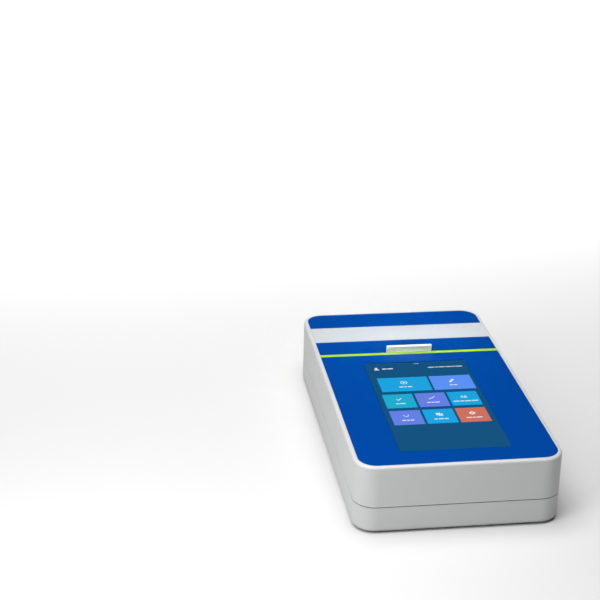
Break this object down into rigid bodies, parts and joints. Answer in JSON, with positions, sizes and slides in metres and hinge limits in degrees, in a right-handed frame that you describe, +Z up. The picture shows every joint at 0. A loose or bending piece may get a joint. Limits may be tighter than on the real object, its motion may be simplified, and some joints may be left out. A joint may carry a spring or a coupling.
{
  "type": "fluorometer",
  "caption": "Flat bench fluorometer with portrait touch screen, hinged rear lid with finger tab over a tube well, rocker switch and power socket at the rear.",
  "frame": {"origin": "middle of the whole footprint on the bench, with the raised end of the rocker that stands 3.6 mm behind the housing counted in", "axes": "+X to the user's right, +Y towards the hinge at the rear, +Z up"},
  "size_m": [0.16, 0.2876, 0.0627],
  "materials": {
    "housing_plastic": "satin",
    "panel_blue": "gloss",
    "screen_glass": "polished",
    "strip_green": "gloss",
    "band_white": "gloss",
    "handle_white": "satin",
    "lcd_module": "matte",
    "bracket_steel": "brushed",
    "screw_steel": "plated",
    "rubber_black": "matte",
    "foam_black": "matte foam",
    "black_plastic": "satin",
    "liner_grey": "matte",
    "deck_grey": "satin",
    "well_aluminium": "black anodised",
    "optics_aluminium": "black anodised",
    "clear_glass": "polished",
    "filter_glass": "polished",
    "emission_glass": "polished",
    "board_green": "solder mask",
    "chip_black": "matte",
    "connector_white": "satin",
    "can_tin": "tinned",
    "magnet_nickel": "plated",
    "bush_bronze": "sintered",
    "terminal_brass": "plated",
    "lead_red": "insulation",
    "ribbon_amber": "film"
  },
  "bodies": {
    "base": {"bottom_shell": "housing_plastic", "top_shell": "housing_plastic", "rubber_feet": "rubber_black", "case_screws": "screw_steel", "front_panel": "panel_blue", "touch_glass": "screen_glass", "accent_strip": "strip_green", "display_frame": "bracket_steel", "lcd_panel": "lcd_module", "display_brackets": "bracket_steel", "bracket_screws": "screw_steel", "hinge_pins": "screw_steel", "catch_plates": "screw_steel", "lid_sensor": "board_green", "sample_deck": "deck_grey", "tube_well": "well_aluminium", "optics_block": "optics_aluminium", "optics_screws": "screw_steel", "excitation_filters": "filter_glass", "excitation_leds": "clear_glass", "led_boards": "board_green", "detector_lens": "clear_glass", "emission_filter": "emission_glass", "detector_board": "board_green", "photodiode": "chip_black", "main_board": "board_green", "board_chips": "chip_black", "board_connectors": "connector_white", "shield_can": "can_tin", "buzzer": "black_plastic", "board_screws": "screw_steel", "power_board": "board_green", "dc_jack": "black_plastic", "jack_pin": "screw_steel", "switch_body": "black_plastic", "switch_terminals": "terminal_brass", "switch_leads": "lead_red", "display_ribbon": "ribbon_amber"},
    "lid": {"lid_shell": "housing_plastic", "lid_overlay": "panel_blue", "lid_band": "band_white", "lid_handle": "handle_white", "lid_liner": "liner_grey", "liner_screws": "screw_steel", "lid_magnets": "magnet_nickel", "light_seal": "foam_black", "hinge_bushes": "bush_bronze"},
    "rocker": {"switch_rocker": "black_plastic"}
  },
  "joints": [
    {"name": "lid_hinge", "type": "hinge", "parent": "base", "child": "lid", "pos_m": [0, 0.1362, 0.04], "axis": [-1, 0, 0], "range_deg": [0, 95]},
    {"name": "switch_rock", "type": "hinge", "parent": "base", "child": "rocker", "pos_m": [-0.0503, 0.1377, 0.0156], "axis": [0, 0, -1], "range_deg": [0, 24]}
  ]
}
